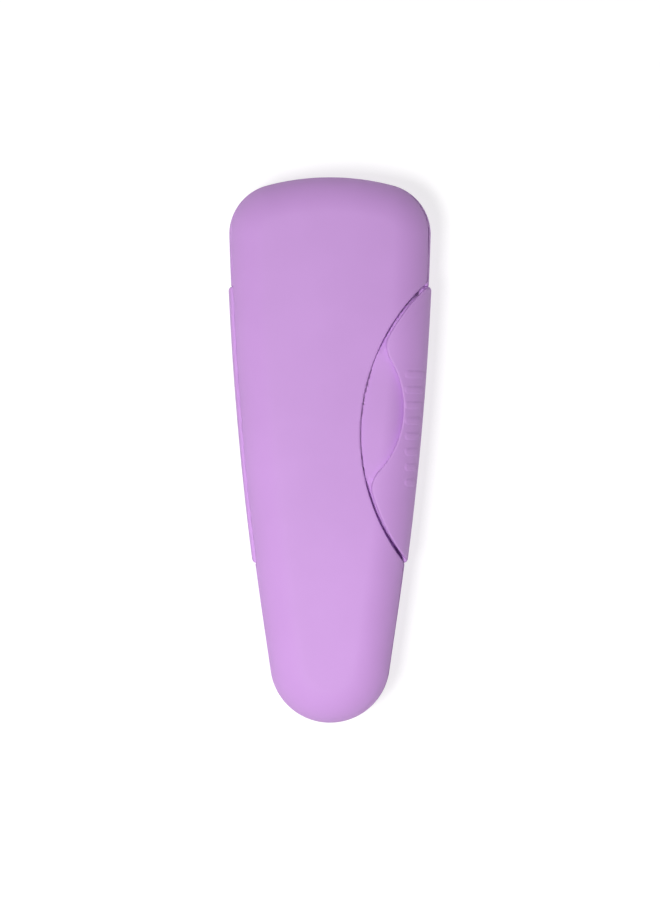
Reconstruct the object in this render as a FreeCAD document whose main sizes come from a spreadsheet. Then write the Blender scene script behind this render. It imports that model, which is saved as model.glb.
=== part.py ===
import FreeCAD, Part
import math
import os
import Sketcher

# Folding travel toothbrush whose tapered case is its own handle.
# Frame: the closed brush lies on its back. +X is its right side, +Y runs to the wide end and
# +Z comes out of the front face. The origin is under the middle of the case. Millimetres.

V = FreeCAD.Vector
Z_AXIS = V(0, 0, 1)
doc = FreeCAD.newDocument("FoldingToothbrush")
sheet = doc.addObject("Spreadsheet::Sheet", "Sizes")

SIZES = {
    # outline of the case, seen from the front
    "case_length": 110, "narrow_radius": 12.1, "taper_angle": 8.33, "taper_end": 32.9,
    "side_radius": 658, "corner_radius": 10.1, "wide_end_radius": 50.5,
    # section of the case
    "case_back": 0.55, "case_front": 23.45, "crown_radius": 130, "edge_front": 7.5, "edge_back": 5,
    "rim": 16.5, "rim_gap": 0.2,
    # how far each nested form stands out from (+) or lies inside (-) the case surface
    "outer_side": 0, "outer_top": 0, "inner_side": -2.2, "inner_top": -2.2,
    "seat_side": -0.75, "seat_top": -0.75, "ledge_side": -0.95, "ledge_top": -0.95,
    "saddle_side": 0.55, "saddle_top": 0.3, "rib_side": 0.73, "rib_top": 0.48,
    # saddle round the middle, and the crescent flange that laps over the front
    "saddle_low": 22.8, "saddle_high": 33.0, "saddle_chamfer": 1.0,
    "crescent_x": 47.8, "crescent_y": 3.0, "flange_radius": 41.1, "ledge_radius": 41.7,
    "notch_x": 3.8, "notch_y": 8.4, "notch_radius": 18.5, "lip_corner": 2.4, "step_round": 0.25,
    "rib_count": 8, "rib_pitch": 3.1, "rib_width": 1.3, "rib_first": 7.2,
    "rib_inner": 15.0, "rib_outer": 19.0,
    # hinge of the brush arm
    "pin_y": 44, "pin_z": 8, "pin_radius": 1.5, "pin_half": 8.7,
    "knuckle_radius": 4.0, "knuckle_half": 4.2, "knuckle_flat": 13.5, "ramp_end": 20,
    "knuckle_reach": 24, "bush_radius": 2.28, "running_gap": 0.05, "static_gap": 0.02,
    # brush stem
    "stem_back": 0.5, "stem_front": 4.8, "neck_half": 3.6, "neck_start": 40, "neck_blend": 6,
    "head_half": 8.2, "head_low": 64, "head_high": 81.8, "stem_round": 1.1,
    "tang_start": 16.5, "tang_half": 2.2, "tang_low": 2.6, "tang_high": 4.8,
    "slot_half": 5.3, "slot_head_half": 9.3, "slot_head_high": 82.4, "slot_blend": 5,
    "mouth_top": 12.5,
    # tufts
    "tuft_radius": 0.8, "tuft_pitch_x": 2.15, "tuft_pitch_y": 2.25, "tuft_margin": 1.65,
    "tuft_root": 3.0, "tuft_tip_outer": 15.4, "tuft_tip_centre": 14.8,
    "hole_floor": 1.7, "anchor_top": 2.9, "anchor_thick": 0.25, "anchor_half": 0.7,
    # cradle that carries both pivots
    "cheek_inner": 4.75, "cheek_outer": 7.55, "cheek_back": 47.3, "cheek_step": 37.3,
    "cheek_front": 28.5, "cheek_low": 3.6, "cheek_mid": 9, "bridge_low": 12.45,
    "bridge_top": 16.3, "bridge_back": 48.9, "bridge_front": 36.3,
    "foot_y": 31, "foot_x": 9.6, "foot_half": 2.0, "foot_edge": 11.2, "foot_low": 7,
    "screw_radius": 1.0, "screw_head_radius": 1.6, "screw_head": 1.2, "screw_length": 6.5,
    "post_radius": 1.9,
    # pivot of the front cover
    "shoulder_radius": 2.0, "swivel_head_radius": 3.4, "head_low_z": 12.6, "head_top_z": 14.2,
    "swivel_thread": 1.25, "swivel_top": 20.6, "boss_radius": 4.2, "washer_radius": 4.0,
    "stop_radius": 5.5, "stop_peg": 0.75, "stop_start": 55, "cover_swing": 110,
    "stop_depth": 1.1, "leaf_half": 3, "leaf_thick": 0.3, "rivet_radius": 0.5,
}


def fill_sheet():
    """One row for each driving dimension: its name, and its value under that name's alias."""
    for row, (name, size) in enumerate(SIZES.items(), start=1):
        sheet.set("A%d" % row, name)
        sheet.set("B%d" % row, str(size))
        sheet.setAlias("B%d" % row, name)
    doc.recompute()


fill_sheet()


def size(name):
    """A driving dimension, read from the sheet as a number."""
    return float(sheet.get(name))


def cells(formula):
    """A formula on the sheet's names, written for setExpression: $name becomes Sizes.name."""
    return formula.replace("$", "Sizes.")


def bind(thing, **formulas):
    """Binds properties to formulas; two underscores in a key stand for a dot."""
    for key, formula in formulas.items():
        thing.setExpression(key.replace("__", "."), cells(formula))


# ---------------------------------------------------------------- small modelling helpers

def box(name, x0, x1, y0, y1, z0, z1):
    """A block between two corners, each coordinate a formula on the sheet."""
    block = doc.addObject("Part::Box", name)
    bind(block, Length="(%s) - (%s)" % (x1, x0), Width="(%s) - (%s)" % (y1, y0),
         Height="(%s) - (%s)" % (z1, z0), Placement__Base__x=x0, Placement__Base__y=y0,
         Placement__Base__z=z0)
    return block


def rod(name, radius, x, y, z, length, along="Z"):
    """A round bar from a point along +Z or +X."""
    bar = doc.addObject("Part::Cylinder", name)
    if along == "X":
        bar.Placement = FreeCAD.Placement(V(0, 0, 0), FreeCAD.Rotation(V(0, 1, 0), 90))
    bind(bar, Radius=radius, Height=length, Placement__Base__x=x, Placement__Base__y=y,
         Placement__Base__z=z)
    return bar


def cut(name, base, tool):
    result = doc.addObject("Part::Cut", name)
    result.Base, result.Tool = base, tool
    return result


def common(name, base, tool):
    result = doc.addObject("Part::Common", name)
    result.Base, result.Tool = base, tool
    return result


def fuse(name, shapes):
    result = doc.addObject("Part::MultiFuse", name)
    result.Shapes = shapes
    result.Refine = True
    return result


def group(name, shapes):
    """Separate solids kept together in one node."""
    result = doc.addObject("Part::Compound", name)
    result.Links = shapes
    return result


def softened(name, base, skin, radius, wanted):
    """Rounds those edges of a shape that lie on a form's skin and that the test picks."""
    doc.recompute()
    faces = Part.Compound(skin.Shape.Faces)
    picked = []
    for number, edge in enumerate(base.Shape.Edges, 1):
        middle = edge.valueAt((edge.FirstParameter + edge.LastParameter) / 2)
        if wanted(middle) and faces.distToShape(Part.Vertex(middle))[0] < 0.002:
            picked.append((number, size(radius), size(radius)))
    result = doc.addObject("Part::Fillet", name)
    result.Base = base
    result.Edges = picked
    return result


def sketch_on(body, role, name, height="0"):
    """A sketch on one of the body's own origin planes, lifted by a formula."""
    plane = [p for p in body.Origin.OriginFeatures if p.Role == role][0]
    sketch = body.newObject("Sketcher::SketchObject", name)
    sketch.AttachmentSupport = [(plane, "")]
    sketch.MapMode = "FlatFace"
    bind(sketch, AttachmentOffset__Base__z=height)
    return sketch


def arc(centre, radius, start, end):
    """An anticlockwise arc between two angles in radians."""
    return Part.ArcOfCircle(Part.Circle(centre, Z_AXIS, radius), start, end)


def line(start, end):
    return Part.LineSegment(start, end)


def chain(sketch, pieces):
    """Adds a closed run of edges. Each piece is (edge, way, joint): way is +1 along the edge
    and -1 against it, and joint says how the piece meets the next one."""
    first = sketch.GeometryCount
    for edge, _, _ in pieces:
        sketch.addGeometry(edge, False)
    for index, (_, way, joint) in enumerate(pieces):
        follower = (index + 1) % len(pieces)
        end = 2 if way > 0 else 1
        start = 1 if pieces[follower][1] > 0 else 2
        sketch.addConstraint(
            Sketcher.Constraint(joint, first + index, end, first + follower, start))


def dimension(sketch, kind, *where, formula):
    """Adds a driving dimension to a sketch and binds it to a formula."""
    value = where[-1]
    index = sketch.addConstraint(Sketcher.Constraint(kind, *where[:-1], value))
    label = "size_%d" % index
    sketch.renameConstraint(index, label)
    sketch.setExpression("Constraints.%s" % label, cells(formula))


def pad(body, sketch, name, length, middle=False):
    feature = body.newObject("PartDesign::Pad", name)
    feature.Profile = sketch
    feature.Midplane = middle
    bind(feature, Length=length)
    return feature


def pocket(body, sketch, name, length, middle=False, upwards=False):
    feature = body.newObject("PartDesign::Pocket", name)
    feature.Profile = sketch
    feature.Midplane = middle
    feature.Reversed = upwards
    bind(feature, Length=length)
    return feature


def meeting(centre_a, reach_a, centre_b, reach_b, side):
    """Where two circles cross: side +1 is the crossing on the left of the line from a to b."""
    between = centre_b - centre_a
    gap = between.Length
    along = (reach_a ** 2 - reach_b ** 2 + gap ** 2) / (2 * gap)
    across = math.sqrt(reach_a ** 2 - along ** 2)
    unit = between / gap
    return centre_a + unit * along + V(-unit.y, unit.x, 0) * (across * side)


def angle_of(vector):
    return math.atan2(vector.y, vector.x)


# ---------------------------------------------------------------- nested forms of the case

def case_outline(sketch, prefix):
    """The tapered outline: a round narrow end, two straight then slightly bowed sides, and a
    wide end with rounded corners. The prefix names the cells that say how far out it lies."""
    out = size(prefix + "_side")
    lean = math.radians(size("taper_angle"))
    half = size("case_length") / 2
    narrow, side = size("narrow_radius"), size("side_radius")
    corner, wide = size("corner_radius"), size("wide_end_radius")
    low = V(0, narrow - half, 0)
    high = V(0, half - wide, 0)
    normal = V(math.cos(lean), -math.sin(lean), 0)
    foot = low + normal * narrow
    taper_top = V(foot.x + (-size("taper_end") - foot.y) * math.tan(lean), -size("taper_end"), 0)
    side_c = taper_top - normal * side
    corner_c = meeting(side_c, side - corner, high, wide - corner, 1)
    turn_in = angle_of(corner_c - side_c)
    turn_out = angle_of(corner_c - high)
    mirror = lambda p: V(-p.x, p.y, 0)
    line_low = low + normal * (narrow + out)
    line_high = taper_top + normal * out
    pi = math.pi
    chain(sketch, [
        (arc(low, narrow + out, pi + lean, 2 * pi - lean), 1, "Tangent"),
        (line(line_low, line_high), 1, "Tangent"),
        (arc(side_c, side + out, -lean, turn_in), 1, "Tangent"),
        (arc(corner_c, corner + out, turn_in, turn_out), 1, "Tangent"),
        (arc(high, wide + out, turn_out, pi - turn_out), 1, "Tangent"),
        (arc(mirror(corner_c), corner + out, pi - turn_out, pi - turn_in), 1, "Tangent"),
        (arc(mirror(side_c), side + out, pi - turn_in, pi + lean), 1, "Tangent"),
        (line(mirror(line_high), mirror(line_low)), 1, "Tangent"),
    ])
    offset = " + $%s_side" % prefix
    dimension(sketch, "Radius", 0, narrow + out, formula="$narrow_radius" + offset)
    dimension(sketch, "Radius", 4, wide + out, formula="$wide_end_radius" + offset)
    for edge in (2, 6):
        dimension(sketch, "Radius", edge, side + out, formula="$side_radius" + offset)
    for edge in (3, 5):
        dimension(sketch, "Radius", edge, corner + out, formula="$corner_radius" + offset)
    for edge in (0, 4):
        sketch.addConstraint(Sketcher.Constraint("PointOnObject", edge, 3, -2))
    dimension(sketch, "DistanceY", 0, 3, -1, 1, half - narrow,
              formula="$case_length / 2 - $narrow_radius")
    dimension(sketch, "DistanceY", 4, 3, -1, 1, wide - half,
              formula="$wide_end_radius - $case_length / 2")


def case_form(prefix):
    """A full solid with the case's own shape, lying a set distance outside or inside it."""
    body = doc.addObject("PartDesign::Body", prefix + "_form")
    back = "$case_back - $%s_side" % prefix
    plan = sketch_on(body, "XY_Plane", prefix + "_plan", back)
    case_outline(plan, prefix)
    solid = pad(body, plan, prefix + "_pad", "$case_front + 2 - (%s)" % back)

    crown_r = size("crown_radius") + size(prefix + "_top")
    crown_c = V(0, size("case_front") - size("crown_radius"), 0)
    reach = 0.2
    ends = [crown_c + V(s * math.sin(reach), math.cos(reach), 0) * crown_r for s in (1, -1)]
    roof = size("case_front") + 8
    crown = sketch_on(body, "XZ_Plane", prefix + "_crown")
    chain(crown, [
        (arc(crown_c, crown_r, math.pi / 2 - reach, math.pi / 2 + reach), 1, "Coincident"),
        (line(ends[1], V(ends[1].x, roof, 0)), 1, "Coincident"),
        (line(V(ends[1].x, roof, 0), V(ends[0].x, roof, 0)), 1, "Coincident"),
        (line(V(ends[0].x, roof, 0), ends[0]), 1, "Coincident"),
    ])
    dimension(crown, "Radius", 0, crown_r, formula="$crown_radius + $%s_top" % prefix)
    pocket(body, crown, prefix + "_crown_cut", "2 * $case_length", middle=True)
    doc.recompute()

    rounded = body.Tip
    for label, formula, chosen in (
            ("front", "$edge_front + $%s_side" % prefix, lambda b: b.ZMin > size("rim")),
            ("back", "$edge_back + $%s_side" % prefix, lambda b: b.ZMax < size("case_back") + 3)):
        edges = ["Edge%d" % n for n, e in enumerate(rounded.Shape.Edges, 1)
                 if chosen(e.BoundBox)]
        fillet = body.newObject("PartDesign::Fillet", "%s_%s_round" % (prefix, label))
        fillet.Base = (rounded, edges)
        bind(fillet, Radius=formula)
        doc.recompute()
        rounded = fillet
    return body


def crescent(name, radius_cell, notched):
    """A tall prism right of the crescent arc; the flange's has the thumb notch taken out."""
    body = doc.addObject("PartDesign::Body", name)
    plan = sketch_on(body, "XY_Plane", name + "_plan", "$rim - 6")
    radius = size(radius_cell)
    centre = V(size("crescent_x"), size("crescent_y"), 0)
    right = size("crescent_x") - 12
    spread = math.asin((centre.x - right) / radius)
    top_angle, low_angle = math.pi / 2 + spread, 3 * math.pi / 2 - spread
    at = lambda c, r, a: c + V(math.cos(a), math.sin(a), 0) * r
    top, low = at(centre, radius, top_angle), at(centre, radius, low_angle)
    if notched:
        notch_r, blend = size("notch_radius"), size("lip_corner")
        notch_c = V(-size("notch_x"), size("notch_y"), 0)
        lip_c = [meeting(centre, radius - blend, notch_c, notch_r + blend, s) for s in (-1, 1)]
        on_arc = [angle_of(c - centre) % (2 * math.pi) for c in lip_c]
        on_notch = [angle_of(c - notch_c) for c in lip_c]
        edge = [
            (arc(centre, radius, top_angle, on_arc[0]), 1, "Tangent"),
            (arc(lip_c[0], blend, on_arc[0], on_notch[0] + math.pi), 1, "Tangent"),
            (arc(notch_c, notch_r, on_notch[1], on_notch[0]), -1, "Tangent"),
            (arc(lip_c[1], blend, on_notch[1] + math.pi, on_arc[1]), 1, "Tangent"),
            (arc(centre, radius, on_arc[1], low_angle), 1, "Coincident"),
        ]
    else:
        edge = [(arc(centre, radius, top_angle, low_angle), 1, "Coincident")]
    chain(plan, edge + [(line(low, top), 1, "Coincident")])
    for index in (0, 4) if notched else (0,):
        dimension(plan, "Radius", index, radius, formula="$" + radius_cell)
    pad(body, plan, name + "_pad", "$case_front - $rim + 14")
    return body


def saddle_zone():
    """The stretch of case that the saddle covers, with its four corners cut off."""
    body = doc.addObject("PartDesign::Body", "saddle_zone")
    plan = sketch_on(body, "XY_Plane", "saddle_zone_plan", "-1")
    wide = half_width(size("saddle_high")) + size("saddle_side")
    slim = half_width(-size("saddle_low")) + size("saddle_side")
    nip, far = size("saddle_chamfer") / 2, 30
    high, low = size("saddle_high"), -size("saddle_low")
    right = [(slim - nip, low), (slim + nip, low + 2 * nip), (far, low + 2 * nip + 3),
             (far, high - 2 * nip - 3), (wide + nip, high - 2 * nip), (wide - nip, high)]
    points = [V(x, y, 0) for x, y in right] + [V(-x, y, 0) for x, y in reversed(right)]
    closed = points[1:] + points[:1]
    chain(plan, [(line(a, b), 1, "Coincident") for a, b in zip(points, closed)])
    pad(body, plan, "saddle_zone_pad", "$case_front + 4")
    return body


def half_width(y):
    """Half the width of the case at a height y on its bowed sides or straight taper."""
    lean = math.radians(size("taper_angle"))
    low_y = size("narrow_radius") - size("case_length") / 2
    foot = V(math.cos(lean), -math.sin(lean), 0) * size("narrow_radius") + V(0, low_y, 0)
    taper_end = -size("taper_end")
    x = foot.x + (min(y, taper_end) - foot.y) * math.tan(lean)
    if y <= taper_end:
        return x
    radius = size("side_radius")
    centre = V(x - radius * math.cos(lean), taper_end + radius * math.sin(lean), 0)
    return centre.x + math.sqrt(radius ** 2 - (y - centre.y) ** 2)


def brush_plan(body, name, height, start, base_half, neck_half, blend, head_half, high):
    """Outline of the stem, or of the slot it swings through: a neck that flares into a long
    rounded head. Distances along the brush run from the hinge pin."""
    plan = sketch_on(body, "XY_Plane", name, height)
    pin = -size("pin_y")
    low_c, high_c = V(0, pin + size("head_low"), 0), V(0, pin + high, 0)
    blend_x = neck_half + blend
    blend_c = V(blend_x, low_c.y - math.sqrt((head_half + blend) ** 2 - blend_x ** 2), 0)
    touch = angle_of(blend_c - low_c)
    mirror = lambda p: V(-p.x, p.y, 0)
    neck_y = pin + size("neck_start")
    base, neck = V(base_half, pin + start, 0), V(neck_half, neck_y, 0)
    neck_top = V(neck_half, blend_c.y, 0)
    side_low, side_high = V(head_half, low_c.y, 0), V(head_half, high_c.y, 0)
    pi = math.pi
    chain(plan, [
        (line(base, neck), 1, "Coincident"),
        (line(neck, neck_top), 1, "Tangent"),
        (arc(blend_c, blend, touch + pi, pi), -1, "Tangent"),
        (arc(low_c, head_half, touch, 0), 1, "Tangent"),
        (line(side_low, side_high), 1, "Tangent"),
        (arc(high_c, head_half, 0, pi), 1, "Tangent"),
        (line(mirror(side_high), mirror(side_low)), 1, "Tangent"),
        (arc(low_c, head_half, pi, pi - touch), 1, "Tangent"),
        (arc(mirror(blend_c), blend, 0, -touch), -1, "Tangent"),
        (line(mirror(neck_top), mirror(neck)), 1, "Coincident"),
        (line(mirror(neck), mirror(base)), 1, "Coincident"),
        (line(mirror(base), base), 1, "Coincident"),
    ])
    return plan


# ---------------------------------------------------------------- shared forms

outer = case_form("outer")
inner = case_form("inner")
seat = case_form("seat")
ledge = case_form("ledge")
saddle = case_form("saddle")
rib = case_form("rib")
zone = saddle_zone()
below_rim = box("below_rim", "-30", "30", "-70", "70", "-5", "$rim")
above_rim = box("above_rim", "-30", "30", "-70", "70", "$rim + $rim_gap", "$case_front + 10")

PIN_Y = "-$pin_y"
SWIVEL_Y = "$narrow_radius - $case_length / 2"


def slot_form():
    """The way through the back and the narrow end that the brush folds out by."""
    body = doc.addObject("PartDesign::Body", "slot_form")
    plan = brush_plan(body, "slot_plan", "-2", -20, size("slot_half"), size("slot_half"),
                      size("slot_blend"), size("slot_head_half"), size("slot_head_high"))
    pad(body, plan, "slot_pad", "$case_back - $inner_side + 4")
    mouth = box("mouth", "-$slot_half", "$slot_half", "-$case_length / 2 - 3", PIN_Y,
                "-2", "$mouth_top")
    return fuse("slot_and_mouth", [body, mouth])


slot = slot_form()


# ---------------------------------------------------------------- handle

def back_shell():
    """Deep half of the case: thinned where the saddle sits, open at the slot, with two posts
    for the cradle's screws."""
    block = common("back_block", outer, below_rim)
    seat_ring = cut("seat_ring", zone, seat)
    seated = cut("back_seated", block, seat_ring)
    hollow = cut("back_hollow", seated, inner)
    posts = [rod("post_%s" % side, "$post_radius", x, "-$foot_y", "$case_back + 1",
                 "$foot_low - $case_back - 1")
             for side, x in (("left", "-$foot_x"), ("right", "$foot_x"))]
    pilots = [rod("pilot_%s" % side, "$screw_radius + $static_gap", x, "-$foot_y",
                  "$foot_low - $screw_length + 1.6", "$screw_length")
              for side, x in (("left", "-$foot_x"), ("right", "$foot_x"))]
    with_posts = fuse("back_with_posts", [hollow] + posts)
    drilled = cut("back_drilled", with_posts, group("pilots", pilots))
    return cut("back_shell", drilled, slot)


def grip_halves():
    """The sleeve round the middle is two mouldings, one each side of the slot. The right one
    runs on over the front as a crescent flange with a thumb notch and raised grip ribs."""
    ring = cut("saddle_ring", common("saddle_block", saddle, zone), seat)
    slotted = cut("saddle_slotted", ring, slot)
    left_half = box("left_half", "-30", "0", "-70", "70", "-5", "$rim")
    left = common("left_grip", slotted, left_half)

    right_half = box("right_half", "0", "30", "-70", "70", "-5", "$rim")
    flange_prism = crescent("flange_prism", "flange_radius", True)
    shell = common("right_shell", slotted, fuse("right_reach", [right_half, flange_prism]))
    bars = [box("rib_bar_%d" % n, "$rib_inner", "$rib_outer",
                "%d * $rib_pitch - $rib_first" % n, "%d * $rib_pitch - $rib_first + $rib_width" % n,
                "$rim", "$case_front + 2") for n in range(int(size("rib_count")))]
    rib_skin = cut("rib_skin", rib, saddle)
    ribs = common("ribs", rib_skin, group("rib_bars", bars))
    return [left, fuse("right_grip", [shell, ribs])]


def on_step_edge(point):
    """True along the arc where the cover drops to the ledge that slides under the flange."""
    reach = math.hypot(point.x - size("crescent_x"), point.y - size("crescent_y"))
    return abs(reach - size("ledge_radius")) < 0.01 and point.z > size("rim") + 0.5


def pivot_cradle():
    """A bridge on two cheeks. The cheeks carry the hinge pin and the bridge the swivel."""
    solids = [box("bridge", "-$cheek_outer", "$cheek_outer", "-$bridge_back", "-$bridge_front",
                  "$bridge_low", "$bridge_top")]
    for side, near, far in (("left", "-$cheek_outer", "-$cheek_inner"),
                            ("right", "$cheek_inner", "$cheek_outer")):
        solids.append(box("cheek_" + side, near, far, "-$cheek_back", "-$cheek_step",
                          "$cheek_low", "$bridge_top"))
        solids.append(box("beam_" + side, near, far, "-$cheek_step", "-$cheek_front",
                          "$cheek_low", "$cheek_mid"))
    for side, near, far in (("left", "-$foot_edge", "-$cheek_inner - 1"),
                            ("right", "$cheek_inner + 1", "$foot_edge")):
        solids.append(box("foot_" + side, near, far, "-$foot_y - $foot_half",
                          "-$foot_y + $foot_half", "$foot_low", "$cheek_mid"))
    frame = fuse("cradle_frame", solids)
    holes = [
        rod("pin_bores", "$pin_radius + $static_gap", "-12", PIN_Y, "$pin_z", "24", along="X"),
        rod("swivel_bore", "$shoulder_radius + $running_gap", "0", SWIVEL_Y, "$bridge_low - 1",
            "$bridge_top - $bridge_low + 2"),
        rod("swivel_sink", "$swivel_head_radius + 0.3", "0", SWIVEL_Y, "$bridge_low - 1",
            "$head_top_z - $bridge_low + 1"),
        rod("foot_hole_left", "$screw_radius + 0.1", "-$foot_x", "-$foot_y", "$foot_low - 1", "4"),
        rod("foot_hole_right", "$screw_radius + 0.1", "$foot_x", "-$foot_y", "$foot_low - 1", "4"),
    ]
    holes += rivets("rivet_hole", "$rivet_radius + $static_gap")
    bored = cut("cradle_bored", frame, group("cradle_holes", holes))
    return cut("pivot_cradle", bored, stop_groove())


def stop_groove():
    """An arc-shaped groove in the bridge that ends the cover's swing both ways."""
    body = doc.addObject("PartDesign::Body", "stop_groove")
    plan = sketch_on(body, "XY_Plane", "stop_groove_plan", "$bridge_top - $stop_depth")
    centre = V(0, size("narrow_radius") - size("case_length") / 2, 0)
    middle, half = size("stop_radius"), size("stop_peg") + 0.2
    start = -math.radians(size("stop_start")) - size("stop_peg") / middle - 0.04
    end = start + math.radians(size("cover_swing")) + 2 * size("stop_peg") / middle + 0.08
    at = lambda r, a: centre + V(math.cos(a), math.sin(a), 0) * r
    chain(plan, [
        (arc(centre, middle + half, start, end), 1, "Coincident"),
        (line(at(middle + half, end), at(middle - half, end)), 1, "Coincident"),
        (arc(centre, middle - half, start, end), -1, "Coincident"),
        (line(at(middle - half, start), at(middle + half, start)), 1, "Coincident"),
    ])
    pad(body, plan, "stop_groove_pad", "$stop_depth + 1")
    return body


def rivets(name, radius):
    """Two short bars where the detent leaf is riveted under the bridge."""
    return [rod("%s_%d" % (name, n), radius, x, "-$bridge_front - 1.2",
                "$bridge_low - $leaf_thick", "1.9")
            for n, x in ((1, "-1.9"), (2, "1.9"))]


def cradle_screws():
    screws = []
    for side, x in (("left", "-$foot_x"), ("right", "$foot_x")):
        shank = rod("shank_" + side, "$screw_radius", x, "-$foot_y",
                    "$cheek_mid - $screw_length", "$screw_length")
        head = rod("head_" + side, "$screw_head_radius", x, "-$foot_y", "$cheek_mid",
                   "$screw_head")
        recess = rod("recess_" + side, "0.8", x, "-$foot_y", "$cheek_mid + 0.5", "2")
        screws.append(cut("screw_" + side, fuse("screw_blank_" + side, [shank, head]), recess))
    return group("cradle_screws", screws)


def hinge_pin():
    pin = rod("pin_blank", "$pin_radius", "-$pin_half", PIN_Y, "$pin_z", "2 * $pin_half",
              along="X")
    rounded = doc.addObject("Part::Chamfer", "hinge_pin")
    rounded.Base = pin
    doc.recompute()
    rounded.Edges = [(n, 0.3, 0.3) for n, e in enumerate(pin.Shape.Edges, 1)
                     if e.BoundBox.XLength < 0.01]
    return rounded


def rings(name, outer_r, inner_r, starts, thickness, y=PIN_Y, z="$pin_z"):
    """Flat rings round the hinge pin, each starting at its own place along X."""
    made = []
    for n, start in enumerate(starts):
        disc = rod("%s_disc_%d" % (name, n), outer_r, start, y, z, thickness, along="X")
        eye = rod("%s_eye_%d" % (name, n), inner_r, start, y, z, thickness, along="X")
        made.append(cut("%s_ring_%d" % (name, n), disc, eye))
    return group(name, made)


def detent_leaf():
    """Spring steel strip under the bridge that bears on the knuckle at both ends of its fold."""
    strip = box("leaf_blank", "-$leaf_half", "$leaf_half", "-$bridge_back + 0.6",
                "-$bridge_front", "$bridge_low - $leaf_thick", "$bridge_low")
    return cut("detent_leaf", strip, group("leaf_holes", rivets("leaf_hole", "$rivet_radius")))


# ---------------------------------------------------------------- front cover

def front_shell():
    """Shallow half of the case, lowered where it slides under the flange, with a pivot boss
    and a stop peg inside."""
    block = common("front_block", outer, above_rim)
    step = cut("step_prism", crescent("ledge_prism", "ledge_radius", False), ledge)
    stepped = cut("front_stepped", block, step)
    eased = softened("front_eased", stepped, outer, "step_round", on_step_edge)
    hollow = cut("front_hollow", eased, inner)
    peg_angle = math.radians(size("stop_start"))
    peg_x = "$stop_radius * %.6f" % math.cos(peg_angle)
    peg_y = SWIVEL_Y + " - $stop_radius * %.6f" % math.sin(peg_angle)
    floor = "$rim + $rim_gap"
    boss = rod("pivot_boss", "$boss_radius", "0", SWIVEL_Y, floor, "$swivel_top + 1 - $rim")
    post = rod("stop_post", "$stop_peg + 0.5", peg_x, peg_y, floor, "$swivel_top + 1 - $rim")
    peg = rod("stop_peg_rod", "$stop_peg", peg_x, peg_y, "$bridge_top - $stop_depth + 0.2",
              "$stop_depth + 1")
    solid = fuse("front_solid", [hollow, boss, post, peg])
    pilot = rod("swivel_pilot", "$swivel_thread + $static_gap", "0", SWIVEL_Y, floor + " - 1",
                "$swivel_top - $rim + 1")
    return cut("front_shell", solid, pilot)


def swivel_screw():
    """Shoulder screw put in from below: its head runs in the bridge and its thread holds the
    cover's boss."""
    head = rod("swivel_head", "$swivel_head_radius", "0", SWIVEL_Y, "$head_low_z",
               "$head_top_z - $head_low_z")
    shoulder = rod("swivel_shoulder", "$shoulder_radius", "0", SWIVEL_Y, "$head_top_z",
                   "$rim + $rim_gap - $head_top_z")
    thread = rod("swivel_shank", "$swivel_thread", "0", SWIVEL_Y, "$rim + $rim_gap",
                 "$swivel_top - $rim - $rim_gap - 0.4")
    socket = rod("swivel_socket", "1.25", "0", SWIVEL_Y, "$head_low_z - 1", "1.9")
    return cut("swivel_screw", fuse("swivel_blank", [head, shoulder, thread]), socket)


def swivel_washer():
    disc = rod("swivel_disc", "$washer_radius", "0", SWIVEL_Y, "$bridge_top + 0.02",
               "$rim + $rim_gap - $bridge_top - 0.02")
    eye = rod("swivel_eye", "$shoulder_radius + $running_gap", "0", SWIVEL_Y, "$bridge_top - 1",
              "3")
    return cut("swivel_washer", disc, eye)


# ---------------------------------------------------------------- brush arm

def arm_knuckle():
    """Hinged root of the brush: an eye round the pin, then a wedge that drops to the level of
    the case's back and takes the stem's tang."""
    body = doc.addObject("PartDesign::Body", "knuckle_body")
    side = sketch_on(body, "YZ_Plane", "knuckle_side")
    pin = V(-size("pin_y"), size("pin_z"), 0)
    radius, reach = size("knuckle_radius"), size("knuckle_reach")
    corners = [
        V(pin.x, pin.y - radius, 0),
        V(pin.x + size("knuckle_flat"), pin.y - radius, 0),
        V(pin.x + size("ramp_end"), size("stem_back"), 0),
        V(pin.x + reach, size("stem_back"), 0),
        V(pin.x + reach, size("stem_front"), 0),
        V(pin.x, pin.y + radius, 0),
    ]
    lines = [(line(a, b), 1, "Coincident") for a, b in zip(corners, corners[1:])]
    eye = (arc(pin, radius, math.pi / 2, 3 * math.pi / 2), 1, "Coincident")
    chain(side, [eye] + lines)
    dimension(side, "Radius", 0, radius, formula="$knuckle_radius")
    wedge = pad(body, side, "knuckle_pad", "2 * $knuckle_half", middle=True)
    doc.recompute()
    softened = body.newObject("PartDesign::Fillet", "knuckle_soften")
    softened.Base = (wedge, ["Edge%d" % n for n, e in enumerate(wedge.Shape.Edges, 1)
                             if e.BoundBox.XLength < 0.01 and e.BoundBox.YLength > 7
                             and e.Length > 8])
    softened.Radius = 0.6
    bore = rod("knuckle_bore", "$bush_radius + $static_gap", "-$knuckle_half - 1", PIN_Y,
               "$pin_z", "2 * $knuckle_half + 2", along="X")
    socket = box("tang_socket", "-$tang_half - $static_gap", "$tang_half + $static_gap",
                 "$tang_start - $pin_y - 0.2", "$knuckle_reach - $pin_y + 1",
                 "$tang_low - $static_gap", "$tang_high - 1.3 + $static_gap")
    return cut("arm_knuckle", body, group("knuckle_holes", [bore, socket]))


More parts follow.
